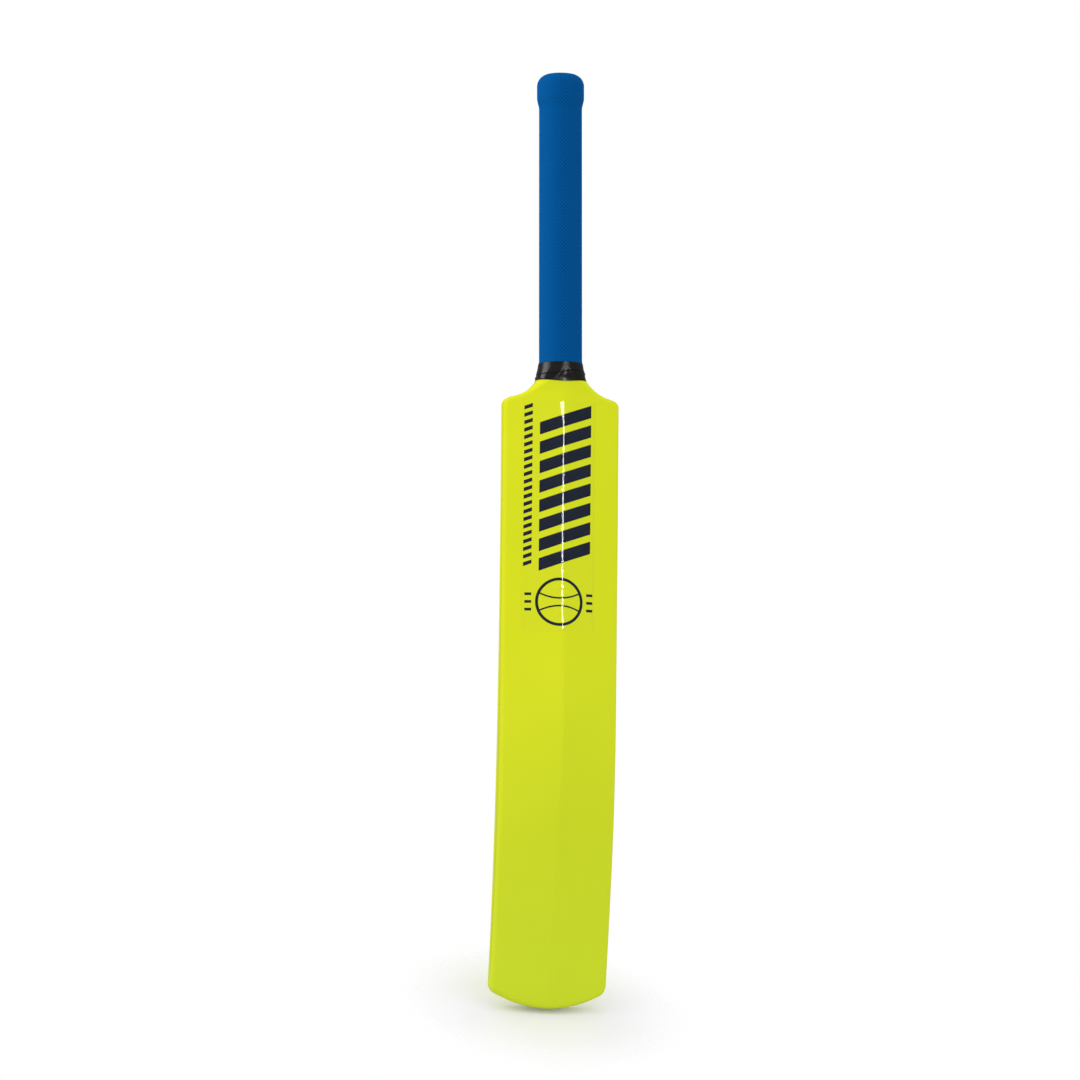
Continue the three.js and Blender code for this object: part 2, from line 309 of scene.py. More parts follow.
def shell_grid(surface, towards):
    """One half of the body as a grid of points from weld line to weld line."""
    rows = []
    for station in station_heights():
        x = row_places(station)
        z = toe_height(station, x)
        row = np.stack([x, surface(x, z), z], axis=1)
        root, lip = weld_groove(x[[0, -1]], z[[0, -1]], towards)
        rows.append(np.vstack([root[0], lip[0], row, lip[1], root[1]]))
    ends = [rows[0][2]] * 2, [rows[0][-3]] * 2
    toe = np.vstack([ends[0], rows[0][2:-2], ends[1]])
    root, lip = weld_groove(toe[:, 0], toe[:, 2], towards)
    lip[[0, -1]] = root[[0, -1]]
    grid = np.array([root, lip] + rows)
    y, z = grid[..., 1], grid[..., 2]
    grid[..., 2] = z + TOE_LEAN * (y - bow(z) + EDGE_HALF) * np.clip(1 - z / TOE_FADE, 0, 1)
    return grid


def add_shell(name, surface, towards, material):
    grid = shell_grid(surface, towards)
    piece = make_piece(name + "_skin", grid, grid_faces(*grid.shape[:2]), material, [name])
    thick = piece.modifiers.new("wall", "SOLIDIFY")
    thick.thickness = WALL * MM
    thick.offset = -1
    return piece


# ---- label -------------------------------------------------------------------------------------------

LABEL_LEFT, LABEL_RIGHT = LABEL_LOW.x / MM, LABEL_HIGH.x / MM
LABEL_BOTTOM, LABEL_TOP = LABEL_LOW.z / MM, LABEL_HIGH.z / MM
FILM_UNDER, FILM_THICK = 0.11, 0.05       # stand-off from the plastic, and thickness
PRINT_UNDER, PRINT_THICK = 0.04, 0.04
FILM_ROWS, FILM_HALF_COLUMNS = 220, 15
BARS = {"left": -22, "right": 26, "bottom": 391, "top": 543, "rise": 17, "count": 8, "share": 0.64}
DASHES = {"left": -36, "right": -28.5, "bottom": 395, "top": 543.5, "rise": 2.7, "count": 22, "share": 0.5}
BALL = {"x": -3, "z": 363, "radius": 22, "line": 2.6}
SEAMS = {"apart": 7, "line": 1.5, "bend": 5, "reach": 0.93}     # two lines across the ball
SPEED_LINES = {"start": 25.5, "end": 31.5, "heights": (-7, 0, 7), "thick": 2.4}
BAR_COLUMNS, DASH_COLUMNS, BAR_ROWS = 12, 5, 5
RING_STEPS, SEAM_STEPS, LINE_STEPS, LINE_ROWS = 160, 24, 6, 3


def on_back(x, z, stand_off):
    return np.stack([x, back_y(x, z) - stand_off, z], axis=-1)


def spine_places(left, right, count):
    """Places from left to right, close together over the spine."""
    steps = np.linspace(0, 1, count) ** 2
    return np.concatenate([left * steps[::-1], right * steps[1:]])


def add_label(material):
    across = spine_places(LABEL_LEFT, LABEL_RIGHT, FILM_HALF_COLUMNS)
    x, z = np.meshgrid(across, np.linspace(LABEL_BOTTOM, LABEL_TOP, FILM_ROWS))
    points, faces = closed_sheet(on_back(x, z, FILM_UNDER + FILM_THICK), on_back(x, z, FILM_UNDER))
    return make_piece("back_label_film", points, faces, material, ["back_label"])


def ink(x, z):
    """A thin slab of print over a grid of places on the back."""
    return closed_sheet(on_back(x, z, PRINT_UNDER + PRINT_THICK), on_back(x, z, PRINT_UNDER))


def slanted_bars(bars, across):
    """Parallel bars that rise to the right, one above the other."""
    pitch = (bars["top"] - bars["bottom"] - bars["rise"]) / (bars["count"] - 1 + bars["share"])
    slant = bars["rise"] * (across - bars["left"]) / (bars["right"] - bars["left"])
    for i in range(bars["count"]):
        up = bars["bottom"] + pitch * (i + bars["share"] * np.linspace(0, 1, BAR_ROWS))
        yield ink(*np.broadcast_arrays(across[None, :], up[:, None] + slant[None, :]))


def ball_ring():
    """A ring of print, as a closed band round the ball."""
    turn = np.linspace(0, 2 * math.pi, RING_STEPS, endpoint=False)
    outer, inner = BALL["radius"], BALL["radius"] - BALL["line"]
    low, high = PRINT_UNDER, PRINT_UNDER + PRINT_THICK
    rows = [on_back(BALL["x"] + r * np.cos(turn), BALL["z"] + r * np.sin(turn), lift)
            for r, lift in ((outer, high), (inner, high), (inner, low), (outer, low), (outer, high))]
    grid = np.array(rows)
    return grid.reshape(-1, 3), grid_faces(*grid.shape[:2], ring=True)


def ball_seams():
    """Two bowed lines across the ball, one on each side of its middle."""
    reach = BALL["radius"] - BALL["line"]
    for side in (-1, 1):
        half = reach * SEAMS["reach"]
        across = spine_places(BALL["x"] - half, BALL["x"] + half, SEAM_STEPS)
        bend = SEAMS["bend"] * ((across - BALL["x"]) / reach) ** 2
        middle = BALL["z"] + side * (SEAMS["apart"] / 2 + bend)
        up = SEAMS["line"] * np.linspace(-0.5, 0.5, LINE_ROWS)
        yield ink(*np.broadcast_arrays(across[None, :], middle[None, :] + up[:, None]))


def speed_lines():
    """Short level lines on both sides of the ball."""
    for side in (-1, 1):
        for height in SPEED_LINES["heights"]:
            across = BALL["x"] + side * np.linspace(SPEED_LINES["start"], SPEED_LINES["end"], LINE_STEPS)
            up = BALL["z"] + height + SPEED_LINES["thick"] * np.linspace(-0.5, 0.5, LINE_ROWS)
            yield ink(*np.meshgrid(across, up))


def add_print(material):
    """Plain bars, dashes and a ball, printed on the underside of the film."""
    points, faces = [], []
    start = 0
    bars = slanted_bars(BARS, spine_places(BARS["left"], BARS["right"], BAR_COLUMNS))
    dashes = slanted_bars(DASHES, np.linspace(DASHES["left"], DASHES["right"], DASH_COLUMNS))
    for shape_points, shape_faces in (*bars, *dashes, ball_ring(), *ball_seams(), *speed_lines()):
        points.append(shape_points)
        faces += [tuple(corner + start for corner in face) for face in shape_faces]
        start += len(shape_points)
    return make_piece("back_label_print", np.concatenate(points), faces, material)


# ---- grip --------------------------------------------------------------------------------------------

GRIP_R = 19.2                # to the grooves between the ribs
GRIP_WALL = 1.5
KNOB_BOTTOM, KNOB_WIDEST = 821, 828
KNOB_TAPER = 4               # how far below the knob the grip starts to widen
KNOB_ROUND = 10.3
LIP_R, LIP_THICK, LIP_EASE = 10.2, 2.2, 0.6
TUBE_CLEAR = 0.3             # between the rubber and the handle
LINING_STEP = 2              # the lining follows the neck from this far above its sweep
RIB_PITCH = 3.2              # up the handle, from rib to rib
RIB_HIGH = 0.5
RIB_FULLNESS = 0.8           # below 1 the ribs are broader than the grooves
RIB_ROWS = 5
BEAD_SHARE = 0.65            # how deep the notches between beads are, as a share of a rib's height
CHEVRONS = 2
CHEVRON_SLOPE, BEAD_SLOPE = 1.15, 1.131     # together they set the beads apart by two of the steps round
AROUND = 172
RIBS_START, RIBS_END = 1, 2  # lengths over which the ribs rise at the grip's end and fade at its lip
TAPER_STEPS, KNOB_STEPS, LINING_STEPS = 8, 12, 6
PROFILE_STEP = 0.5           # either side of a place, for its slope


def chevron(azimuth, slope):
    """Height of a rib's line round the grip: highest over the spine and opposite it."""
    span = 2 * math.pi / CHEVRONS
    away = np.abs((azimuth / span + 0.5) % 1 - 0.5) * 2
    return -away * (span / 2) * GRIP_R * slope


def rib_pattern(azimuth, place):
    """0 in the grooves, 1 on top of the beads that make up each rib."""
    rib = 0.5 + 0.5 * np.cos(2 * math.pi * (place - chevron(azimuth, CHEVRON_SLOPE)) / RIB_PITCH)
    bead = 0.5 + 0.5 * np.cos(2 * math.pi * (place + chevron(azimuth, BEAD_SLOPE)) / RIB_PITCH)
    return rib ** RIB_FULLNESS * (1 - BEAD_SHARE * (1 - bead))


def quarter_over(radius, top, round_r, count):
    """A quarter arc in a turned outline, from the side up and inwards."""
    return [(radius - round_r * (1 - math.cos(angle)), top - round_r * (1 - math.sin(angle)))
            for angle in quarter_steps(count)]


def grip_profile():
    """The rubber's outside from its lower end, up over the knob and in to the lip: radius and height."""
    taper = KNOB_BOTTOM - KNOB_TAPER
    widest = KNOB_R - RIB_HIGH
    top = GRIP_TOP - RIB_HIGH
    points = [(GRIP_R, GRIP_BOTTOM), (GRIP_R, taper)]
    for t in np.linspace(0, 1, TAPER_STEPS + 1)[1:]:
        points.append((mix(GRIP_R, widest, smooth(t, 0, 1)), mix(taper, KNOB_WIDEST, t)))
    points += quarter_over(widest, top, KNOB_ROUND, KNOB_STEPS)
    points += [(LIP_R + LIP_EASE, top), (LIP_R, top - LIP_EASE)]
    return np.array(points)


def along(profile, places):
    """Points and outward normals at distances along a profile of radius and height."""
    steps = np.hypot(*np.diff(profile, axis=0).T)
    length = np.concatenate([[0], np.cumsum(steps)])
    radius = np.interp(places, length, profile[:, 0])
    height = np.interp(places, length, profile[:, 1])
    ahead, behind = places + PROFILE_STEP, places - PROFILE_STEP
    dr = np.interp(ahead, length, profile[:, 0]) - np.interp(behind, length, profile[:, 0])
    dz = np.interp(ahead, length, profile[:, 1]) - np.interp(behind, length, profile[:, 1])
    size = np.maximum(np.hypot(dr, dz), 1e-6)
    return radius, height, dz / size, -dr / size


def round_axis(radius, azimuth, height):
    """Points at a radius and height round the handle's axis, azimuth 0 towards the spined back."""
    return np.stack([radius * np.sin(azimuth), -radius * np.cos(azimuth), height], axis=-1)


def grip_lining(azimuth):
    """The rubber's inside from the lip down to its lower end: radius all round, and height."""
    tube = HANDLE_R + TUBE_CLEAR
    head = KNOB_R - GRIP_WALL
    under_lip = GRIP_TOP - LIP_THICK
    lining = [(LIP_R, under_lip)]
    lining += quarter_over(head, under_lip, KNOB_ROUND - GRIP_WALL, LINING_STEPS)[::-1]
    lining += [(head, KNOB_WIDEST), (tube, KNOB_BOTTOM), (tube, FILLET_Z + LINING_STEP)]
    lining += [(tube, h) for h in np.linspace(FILLET_Z, GRIP_BOTTOM, LINING_STEPS)]
    for radius, height in lining:
        if height <= FILLET_Z:
            yield np.maximum(radius, body_radius(azimuth, height) + GAP), height
        else:
            yield np.full(AROUND, radius), height


def add_grip(material):
    profile = grip_profile()
    total = np.hypot(*np.diff(profile, axis=0).T).sum()
    azimuth = np.arange(AROUND) * 2 * math.pi / AROUND
    lift = chevron(azimuth, CHEVRON_SLOPE)
    steps = np.arange(0, total - lift.min() + RIB_PITCH, RIB_PITCH / RIB_ROWS)
    places = np.clip(steps[:, None] + lift[None, :], 0, total)
    radius, height, out, up = along(profile, places)
    fade = smooth(places, 0, RIBS_START) * smooth(total - places, 0, RIBS_END)
    # The rib pattern is also kept as a tone that paints shade into the grooves.
    tone = rib_pattern(azimuth, places)
    raised = RIB_HIGH * tone * fade
    on_neck = np.where(height < FILLET_Z, body_radius(azimuth, height) + GRIP_WALL, 0)
    radius = np.maximum(radius, on_neck) + raised * out
    height = height + raised * up
    outer = round_axis(radius, azimuth, height)
    inner = [round_axis(room, azimuth, np.full(AROUND, h)) for room, h in grip_lining(azimuth)]
    grid = np.concatenate([outer, np.array(inner), outer[:1]])
    tone = np.concatenate([tone, np.ones((len(inner), AROUND)), tone[:1]])
    faces = grid_faces(*grid.shape[:2], ring=True)
    return make_piece("grip_rubber", grid, faces, material, ["grip"], tone)


# ---- neck tape ---------------------------------------------------------------------------------------

TAPE_TOP = TAPE_HIGH.z / MM
TAPE_BOTTOM_SIDES, TAPE_BOTTOM_SPINE, TAPE_BOTTOM_RISE = 565.85, 564.0, 0.25
TAPE_THICK, TAPE_LAP = 0.25, 0.3         # one layer, and the step up where the next one starts
RIB_SHOWS = 0.12                          # how far the grip's ribs push the tape out
TAPE_BRIDGE = 8                           # height over which the tape climbs onto the grip's end
TAPE_EASE = 0.5                           # height over which it bends onto the grip's end
RIB_EASE = 2                              # height over which the ribs start to show
LAP_LOW, LAP_HIGH, LAP_EASE = 570.9, 574.1, 0.3
LAP_CLIMB, LAP_FALL = (-35, 25), (60, 180)     # degrees between which the lap rises, and comes down again
LAP_SHADE = 0.5                           # height of the band just below the lap's edge where the tape's sheen is turned down, painted shade under the step
FOLDS = (                                 # degrees round, height, width in degrees, thickness, stand-out
    (-104, 568.6, 12, 0.9, 0.9),
    (76, 573.0, 10, 0.8, 0.9),
    (-128, 566.9, 9, 0.6, 0.7),
    (112, 569.5, 14, 0.7, 0.5),
)
FOLD_SLANT = 0.05                         # rise of a fold for each degree round
TAPE_ROWS, TAPE_AROUND = 96, 300


def lap_edge(azimuth):
    """Height of the edge of the upper turn of tape, which climbs round the bat."""
    degrees = np.degrees(azimuth)
    return mix(LAP_LOW, LAP_HIGH, smooth(degrees, *LAP_CLIMB) - smooth(degrees, *LAP_FALL))


def tape_surface(azimuth, z):
    """Radius of the tape's outside over the neck, the grip's end and the ribs under it."""
    body = body_radius(azimuth, z)
    over_grip = np.maximum(GRIP_R + RIB_HIGH / 2, body + GRIP_WALL + RIB_HIGH / 2)
    radius = body + (over_grip - body) * smooth(z, GRIP_BOTTOM - TAPE_BRIDGE, GRIP_BOTTOM + TAPE_EASE)
    ribs = rib_pattern(azimuth, z - GRIP_BOTTOM) * smooth(z, GRIP_BOTTOM, GRIP_BOTTOM + RIB_EASE)
    radius += RIB_SHOWS * ribs
    radius += TAPE_LAP * smooth(z - lap_edge(azimuth), 0, LAP_EASE)
    for degrees, height, wide, thick, out in FOLDS:
        away = (np.degrees(azimuth) - degrees + 180) % 360 - 180
        radius += out * bell(away, 0, wide) * bell(z - height, FOLD_SLANT * away, thick)
    return radius + TAPE_THICK


def add_tape(material):
    azimuth = np.linspace(-math.pi, math.pi, TAPE_AROUND, endpoint=False)
    rise = TAPE_BOTTOM_RISE * np.sin(azimuth)
    bottom = mix(TAPE_BOTTOM_SPINE, TAPE_BOTTOM_SIDES, np.sin(azimuth) ** 2) + rise
    z = mix(bottom[None, :], TAPE_TOP, np.linspace(0, 1, TAPE_ROWS)[:, None])
    azimuth = np.broadcast_to(azimuth, z.shape)
    outer_radius = tape_surface(azimuth, z)
    outer = round_axis(outer_radius, azimuth, z)
    inner = round_axis(outer_radius - TAPE_THICK, azimuth, z)
    loop = np.concatenate([outer, inner[::-1], outer[:1]])
    # Painted shade: the tape's sheen is turned down in a band under the lap's step.
    shade = 1 - bell(z - lap_edge(azimuth), -LAP_SHADE / 2, LAP_SHADE)
    tone = np.concatenate([shade, shade[::-1], shade[:1]])
    faces = grid_faces(*loop.shape[:2], ring=True)
    return make_piece("neck_tape_wrap", loop, faces, material, ["neck_tape"], tone)


# ---- butt plug ---------------------------------------------------------------------------------------

BUTTON_R, BUTTON_EDGE, BUTTON_DROP = 9.2, 0.7, 3      # the flat button that shows in the rubber's rim
STEM_CHAMFER = 1
DIMPLE = ((3.0, 0), (2.4, 0.25), (1.4, 0.4), (0, 0.4))    # radius and depth, in the button's middle
HEAD_STEPS, BUTTON_STEPS = 8, 6


def turned(name, profile, material, stands_for):
    """A closed turned piece from an outline of radius and height that starts and ends on the axis."""
    azimuth = np.arange(AROUND) * 2 * math.pi / AROUND
    grid = np.array([round_axis(r, azimuth, np.full(AROUND, h)) for r, h in profile])
    return make_piece(name, grid, grid_faces(*grid.shape[:2], ring=True), material, stands_for)


def add_plug(material):
    low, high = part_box("butt_plug")
    bottom, top = low.z / MM, high.z / MM
    stem = HANDLE_R - WALL - GAP
    head = KNOB_R - GRIP_WALL - GAP
    head_top = top - BUTTON_DROP
    profile = [(0, bottom), (stem - STEM_CHAMFER, bottom), (stem, bottom + STEM_CHAMFER)]
    profile += [(stem, TUBE_TOP + GAP), (HANDLE_R, TUBE_TOP + GAP), (head, KNOB_WIDEST)]
    profile += quarter_over(head, head_top, KNOB_ROUND - GRIP_WALL, HEAD_STEPS)
    profile += [(BUTTON_R, head_top)]
    profile += quarter_over(BUTTON_R, top, BUTTON_EDGE, BUTTON_STEPS)
    profile += [(radius, top - depth) for radius, depth in DIMPLE]
    return turned("butt_plug_cap", profile, material, ["butt_plug"])


# ---- materials ---------------------------------------------------------------------------------------

def srgb(red, green, blue):
    """A colour given as screen values of 0 to 255, in linear light."""
    def linear(v):
        v = v / 255
        return v / 12.92 if v <= 0.04045 else ((v + 0.055) / 1.055) ** 2.4
    return (linear(red), linear(green), linear(blue), 1)


WHITE = (1, 1, 1, 1)
# The lower yellow is painted shade: the blade turns greener and darker towards the toe, where less light
# reaches it.
YELLOW, LOWER_YELLOW_PAINTED_SHADE = srgb(224, 234, 34), srgb(213, 231, 47)
PAINTED_SHADE_BETWEEN = (0.03, 0.36)     # heights in metres between which the lower, greener and darker yellow of painted shade takes over
CLOUDY = (0.975, 0.98, 1, 1)     # multiplies the yellow where it is cloudy
# The groove blue is painted shade, darker in the grip's grooves; the rib blue is the rubber's own colour.
BLUE_GROOVE_PAINTED_SHADE, BLUE_RIB = srgb(0, 64, 126), srgb(0, 98, 166)
RUBBED = (0.8, 0.85, 0.9, 1)     # multiplies the blue
PLUG_DARK, PLUG_PALE = srgb(24, 25, 28), srgb(32, 33, 36)
WOOD_DARK, WOOD_PALE = srgb(172, 128, 78), srgb(201, 160, 106)
TAPE_DARK, TAPE_PALE = srgb(18, 17, 16), srgb(26, 25, 23)
INK_DARK, INK_PALE = srgb(24, 33, 50), srgb(34, 40, 58)
FILM_IOR = 1.4


class Nodes:
    """The node tree of a material or world, with short calls for the nodes used here."""

    def __init__(self, owner, output="Material Output"):
        owner.use_nodes = True
        self.owner = owner
        self.tree = owner.node_tree
        self.shader = self.tree.nodes.get("Principled BSDF")
        self.output = self.tree.nodes[output]

    def add(self, kind, **settings):
        node = self.tree.nodes.new(kind)
        for key, value in settings.items():
            setattr(node, key, value)
        return node

    def link(self, source, target):
        self.tree.links.new(source, target)

    def place(self):
        return self.add("ShaderNodeTexCoord").outputs["Object"]

    def noise(self, scale, detail=2.0, vector=None):
        node = self.add("ShaderNodeTexNoise")
        node.inputs["Scale"].default_value = scale
        node.inputs["Detail"].default_value = detail
        self.link(vector or self.place(), node.inputs["Vector"])
        return node.outputs["Fac"]

    def ramp(self, source, low, high, from_low=0.3, from_high=0.7, kind="LINEAR"):
        """A number between low and high as the source runs from from_low to from_high."""
        node = self.add("ShaderNodeMapRange", interpolation_type=kind)
        ends = (("From Min", from_low), ("From Max", from_high), ("To Min", low), ("To Max", high))
        for name, value in ends:
            node.inputs[name].default_value = value
        self.link(source, node.inputs["Value"])
        return node.outputs["Result"]

    def blend(self, factor, a, b):
        node = self.add("ShaderNodeMix", data_type="RGBA")
        self.link(factor, node.inputs["Factor"])
        node.inputs["A"].default_value = a
        node.inputs["B"].default_value = b
        return node.outputs["Result"]

    def tinted(self, factor, color, tint):
        """A colour multiplied by a tint, by a factor."""
        node = self.add("ShaderNodeMix", data_type="RGBA", blend_type="MULTIPLY")
        self.link(factor, node.inputs["Factor"])
        self.link(color, node.inputs["A"])
        node.inputs["B"].default_value = tint
        return node.outputs["Result"]

    def product(self, a, b):
        node = self.add("ShaderNodeMath", operation="MULTIPLY")
        self.link(a, node.inputs[0])
        self.link(b, node.inputs[1])
        return node.outputs["Value"]

    def front(self):
        """1 on the outer side of a face, 0 on its back."""
        facing_away = self.add("ShaderNodeNewGeometry").outputs["Backfacing"]
        return self.ramp(facing_away, 1, 0, 0, 1)

    def camera_ray(self):
        return self.add("ShaderNodeLightPath").outputs["Is Camera Ray"]

    def show_share(self, share, shader):
        """Shows a shader by its share, and lets the rest of the light through."""
        mixed = self.add("ShaderNodeMixShader")
        self.link(share, mixed.inputs["Fac"])
        self.link(self.add("ShaderNodeBsdfTransparent").outputs["BSDF"], mixed.inputs[1])
        self.link(shader, mixed.inputs[2])
        self.link(mixed.outputs["Shader"], self.output.inputs["Surface"])

    def bump(self, height, distance):
        node = self.add("ShaderNodeBump")
        node.inputs["Distance"].default_value = distance
        self.link(height, node.inputs["Height"])
        return node.outputs["Normal"]

    def stretched(self, scale):
        node = self.add("ShaderNodeMapping")
        node.inputs["Scale"].default_value = scale
        self.link(self.place(), node.inputs["Vector"])
        return node.outputs["Vector"]

    def set(self, **values):
        for name, value in values.items():
            self.shader.inputs[name.replace("_", " ")].default_value = value


def new_material(name):
    return Nodes(bpy.data.materials.new(name))


def blade_plastic():
    n = new_material("blade_plastic")
    height = n.add("ShaderNodeSeparateXYZ")
    n.link(n.place(), height.inputs["Vector"])
    # Painted shade: the yellow turns greener and darker towards the toe.
    shade = n.blend(n.ramp(height.outputs["Z"], 1, 0, *PAINTED_SHADE_BETWEEN), YELLOW, LOWER_YELLOW_PAINTED_SHADE)
    cloudy = n.tinted(n.ramp(n.noise(14, 3), 0, 1), shade, CLOUDY)
    n.link(cloudy, n.shader.inputs["Base Color"])
    n.link(n.ramp(n.noise(500, 3), 0.33, 0.38), n.shader.inputs["Roughness"])
    n.link(n.bump(n.noise(900, 2), 0.00002), n.shader.inputs["Normal"])
    n.set(Specular_IOR_Level=0.05)
    return n.owner


def grip_rubber():
    n = new_material("grip_rubber")
    tone = n.add("ShaderNodeAttribute", attribute_name="tone").outputs["Fac"]
    # Painted shade: the grooves between the ribs are darker.
    shade = n.blend(n.ramp(tone, 0, 1, 0, 0.8), BLUE_GROOVE_PAINTED_SHADE, BLUE_RIB)
    rubbed = n.tinted(n.ramp(n.noise(40, 4), 0, 0.25), shade, RUBBED)
    n.link(rubbed, n.shader.inputs["Base Color"])
    n.link(n.ramp(n.noise(200, 3), 0.7, 0.8), n.shader.inputs["Roughness"])
    n.link(n.bump(n.noise(2500, 2), 0.00003), n.shader.inputs["Normal"])
    n.set(Specular_IOR_Level=0.03)
    return n.owner


def plug_plastic():
    n = new_material("plug_plastic")
    n.link(n.blend(n.noise(80, 3), PLUG_DARK, PLUG_PALE), n.shader.inputs["Base Color"])
    n.link(n.ramp(n.noise(300, 3), 0.4, 0.55), n.shader.inputs["Roughness"])
    n.link(n.bump(n.noise(3000, 2), 0.00003), n.shader.inputs["Normal"])
    return n.owner


def core_wood():
    n = new_material("core_wood")
    grain = n.noise(2, 6, n.stretched((60, 60, 4)))
    n.link(n.blend(grain, WOOD_DARK, WOOD_PALE), n.shader.inputs["Base Color"])
    n.set(Roughness=0.7)
    return n.owner


def tape_vinyl():
    n = new_material("tape_vinyl")
    n.link(n.blend(n.noise(120, 4), TAPE_DARK, TAPE_PALE), n.shader.inputs["Base Color"])
    n.link(n.ramp(n.noise(260, 4), 0.17, 0.22), n.shader.inputs["Roughness"])
    creases = n.noise(350, 3, n.stretched((1, 1, 3)))
    n.link(n.bump(creases, 0.000015), n.shader.inputs["Normal"])
    # The tone paints shade under the lap by turning down the tape's sheen there.
    tone = n.add("ShaderNodeAttribute", attribute_name="tone").outputs["Fac"]
    n.link(n.ramp(tone, 0.05, 0.45, 0, 1), n.shader.inputs["Specular IOR Level"])
    return n.owner


def print_ink():
    n = new_material("print_ink")
    n.link(n.blend(n.noise(70, 3), INK_DARK, INK_PALE), n.shader.inputs["Base Color"])
    n.link(n.ramp(n.noise(300, 2), 0.4, 0.5), n.shader.inputs["Roughness"])
    n.link(n.bump(n.noise(1500, 2), 0.00001), n.shader.inputs["Normal"])
    n.set(Specular_IOR_Level=0.1)
    return n.owner


def label_film():
    """Clear film: its front mirrors a share of what the camera sees, and all other light passes."""
    n = new_material("label_film")
    gloss = n.add("ShaderNodeBsdfGlossy")
    n.link(n.ramp(n.noise(80, 3), 0.06, 0.08), gloss.inputs["Roughness"])
    mirror = n.add("ShaderNodeFresnel")
    mirror.inputs["IOR"].default_value = FILM_IOR
    share = n.product(mirror.outputs["Fac"], n.front())
    n.show_share(n.product(share, n.camera_ray()), gloss.outputs["BSDF"])
    return n.owner


# ---- the bat -----------------------------------------------------------------------------------------

yellow = blade_plastic()
add_shell("back_shell", back_y, BACK, yellow)
add_shell("face_shell", face_y, FACE, yellow)
add_label(label_film())
add_print(print_ink())
add_grip(grip_rubber())
add_tape(tape_vinyl())
add_plug(plug_plastic())
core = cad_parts["handle_core"]
core.data.materials.clear()
core.data.materials.append(core_wood())


# ---- stage -------------------------------------------------------------------------------------------

VIEW_AZIMUTH, VIEW_ELEVATION = -14.5, -8.5
VIEW_DISTANCE = 7.0
LENS, SENSOR = 258.0, 36
SHIFT_X, SHIFT_Y = -0.0190, -0.0044       # the bat stands a little right of and above the picture's middle
FAR = 100                                 # the camera sees this far, in metres
FLOOR_TILT = 30                           # it rises behind the toe, so a viewer from below sees its top
FLOOR_R, FLOOR_CLEAR = 0.15, 0.0002       # its radius, and how far it lies under the toe
FLOOR_WHOLE = 0.35                        # share of its radius that doesn't fade
FLOOR_PALE = (0.8, 0.79, 0.83, 1)
FLOOR_GLOW = 0.14
FLOOR_CORNERS = 96


def direction(azimuth, elevation):
    """From the bat towards a viewer or a lamp. Azimuth 0 is the spined back, 90 the +X side."""
    a, e = math.radians(azimuth), math.radians(elevation)
    return Vector((math.sin(a) * math.cos(e), -math.cos(a) * math.cos(e), math.sin(e)))


def add_camera():
    data = bpy.data.cameras.new("camera")
    camera = bpy.data.objects.new("camera", data)
    bpy.context.scene.collection.objects.link(camera)
    target = Vector((0, HANDLE_Y, LENGTH * MM / 2))
    away = direction(VIEW_AZIMUTH, VIEW_ELEVATION)
    camera.location = target + away * VIEW_DISTANCE
    camera.rotation_mode = "QUATERNION"
    camera.rotation_quaternion = (-away).to_track_quat("-Z", "Y")
    data.sensor_width = SENSOR
    data.lens = LENS
    data.shift_x, data.shift_y = SHIFT_X, SHIFT_Y
    data.clip_end = FAR
    bpy.context.scene.camera = camera


def add_lamp(name, azimuth, elevation, distance, aim_height, width, height, radiance):
    """A soft rectangular lamp, turned towards the frame's upright axis at its aim height."""
    data = bpy.data.lights.new(name, "AREA")
    data.shape = "RECTANGLE"
    data.size, data.size_y = width, height
    data.energy = radiance * math.pi * width * height
    lamp = bpy.data.objects.new(name, data)
    bpy.context.scene.collection.objects.link(lamp)
    away = direction(azimuth, elevation)
    lamp.location = Vector((0, 0, aim_height)) + away * distance
    lamp.rotation_mode = "QUATERNION"
    lamp.rotation_quaternion = away.to_track_quat("Z", "Y")


def add_world():
    """White to the camera; a dimmer sky that is brighter above than below for everything else."""
    n = Nodes(bpy.data.worlds.new("studio"), "World Output")
    height = n.add("ShaderNodeSeparateXYZ")
    n.link(n.add("ShaderNodeTexCoord").outputs["Generated"], height.inputs["Vector"])
    sky = n.ramp(height.outputs["Z"], SKY_BELOW, SKY_ABOVE, -1, 1)
    path = n.add("ShaderNodeLightPath")
    sheen = n.ramp(path.outputs["Is Glossy Ray"], 1, SKY_SHEEN, 0, 1)
    background = n.tree.nodes["Background"]
    background.inputs["Color"].default_value = WHITE
    n.link(n.product(sky, sheen), background.inputs["Strength"])
    shown = n.add("ShaderNodeBackground")
    shown.inputs["Color"].default_value = WHITE
    choose = n.add("ShaderNodeMixShader")
    n.link(path.outputs["Is Camera Ray"], choose.inputs["Fac"])
    n.link(background.outputs["Background"], choose.inputs[1])
    n.link(shown.outputs["Background"], choose.inputs[2])
    n.link(choose.outputs["Shader"], n.output.inputs["Surface"])
    bpy.context.scene.world = n.owner


def floor_surface():
    """Pale, slightly glossy, with painted light where it glows a little to the camera, fading out to its rim
    and clear from below.
    """
    n = new_material("floor_surface")
    away = n.add("ShaderNodeVectorMath", operation="LENGTH")
    n.link(n.place(), away.inputs[0])
    shown = n.ramp(away.outputs["Value"], 0, 1, FLOOR_R, FLOOR_R * FLOOR_WHOLE, "SMOOTHSTEP")
    n.set(Base_Color=FLOOR_PALE, Roughness=0.35, Specular_IOR_Level=0.25, Emission_Color=WHITE)
    # Painted light: the floor glows to the camera so that it shows white where no shadow falls.
    n.link(n.ramp(n.camera_ray(), 0, FLOOR_GLOW, 0, 1), n.shader.inputs["Emission Strength"])
    n.show_share(n.product(shown, n.front()), n.shader.outputs["BSDF"])
    return n.owner


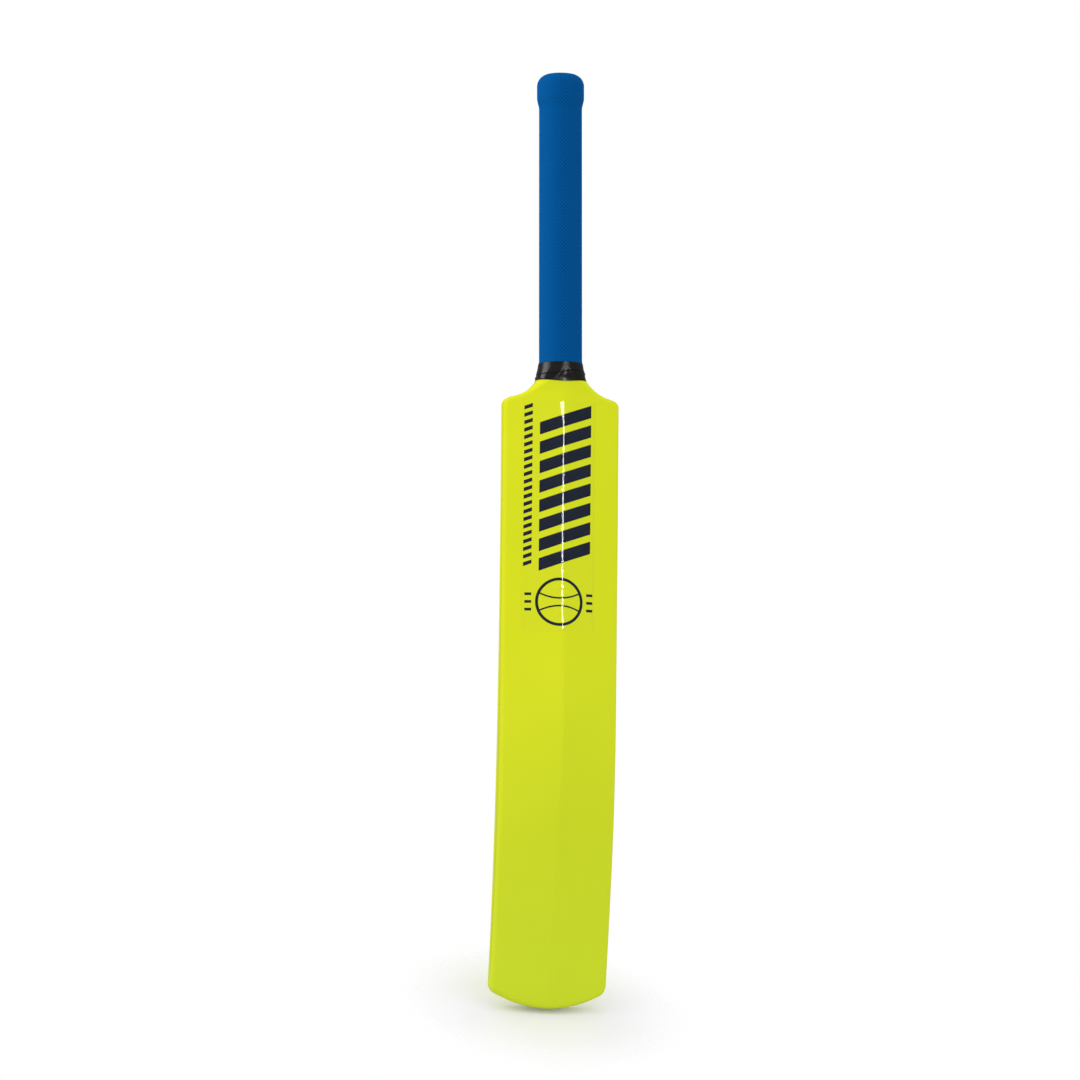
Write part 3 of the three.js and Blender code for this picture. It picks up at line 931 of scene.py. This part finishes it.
def add_floor():
    """A tilted disc of floor that the toe stands on."""
    normal = direction(0, 90 - FLOOR_TILT)
    toe = np.array([corner.co[:] for corner in bpy.data.objects["face_shell_skin"].data.vertices])
    lowest = Vector(toe[np.argmin(toe @ np.array(normal))].tolist())
    steps = np.linspace(0, 2 * math.pi, FLOOR_CORNERS, endpoint=False)
    mesh = bpy.data.meshes.new("floor")
    rim = [(FLOOR_R * math.cos(a), FLOOR_R * math.sin(a), 0) for a in steps]
    slices = [(0, i + 1, (i + 1) % FLOOR_CORNERS + 1) for i in range(FLOOR_CORNERS)]
    mesh.from_pydata([(0, 0, 0)] + rim, [], slices)
    mesh.materials.append(floor_surface())
    floor = bpy.data.objects.new("floor", mesh)
    bpy.context.scene.collection.objects.link(floor)
    floor.rotation_mode = "QUATERNION"
    floor.rotation_quaternion = normal.to_track_quat("Z", "Y")
    floor.location = Vector((0, lowest.y, lowest.z)) - normal * FLOOR_CLEAR


# Azimuth, elevation, distance, height aimed at, width, height and brightness of each lamp
LAMPS = {
    "side_softbox": (-93, 20, 2.5, 0.6, 1.6, 1.6, 3.1),
    "key_softbox": (-70, 25, 1.8, 0.6, 0.9, 0.9, 1.5),
    "warm_softbox": (-75, 35, 1.2, 0.6, 0.5, 0.5, 3.1),
    "film_strip": (6.5, 0, 1.8, 0.85, 0.33, 0.9, 28),
    "tape_strip": (13.5, 0, 1.8, 0.5, 0.12, 2.6, 11),
}
WARM_TINT = (1, 0.45, 0.05)                      # of the warm softbox
NO_SHEEN = ("key_softbox", "warm_softbox")       # light the bat but aren't mirrored in it
LIT_ONLY = {                                     # lamps that reach only these pieces
    "side_softbox": ("grip_rubber", "neck_tape_wrap"),
    "warm_softbox": ("back_shell_skin", "face_shell_skin"),
    "film_strip": ("back_label_film",),
    "tape_strip": ("neck_tape_wrap",),
}
SKY_BELOW, SKY_ABOVE = 0.61, 1.12
SKY_SHEEN = 0.15                                 # how much of the sky is mirrored in the bat

bpy.context.scene.view_settings.view_transform = "Standard"
add_camera()
add_world()
for lamp_name, lamp in LAMPS.items():
    add_lamp(lamp_name, *lamp)
bpy.data.lights["warm_softbox"].color = WARM_TINT
for lamp_name in NO_SHEEN:
    bpy.data.objects[lamp_name].visible_glossy = False
for lamp_name, pieces in LIT_ONLY.items():
    receivers = bpy.data.collections.new(lamp_name + "_lights")
    for piece_name in pieces:
        receivers.objects.link(bpy.data.objects[piece_name])
    bpy.data.objects[lamp_name].light_linking.receiver_collection = receivers
add_floor()
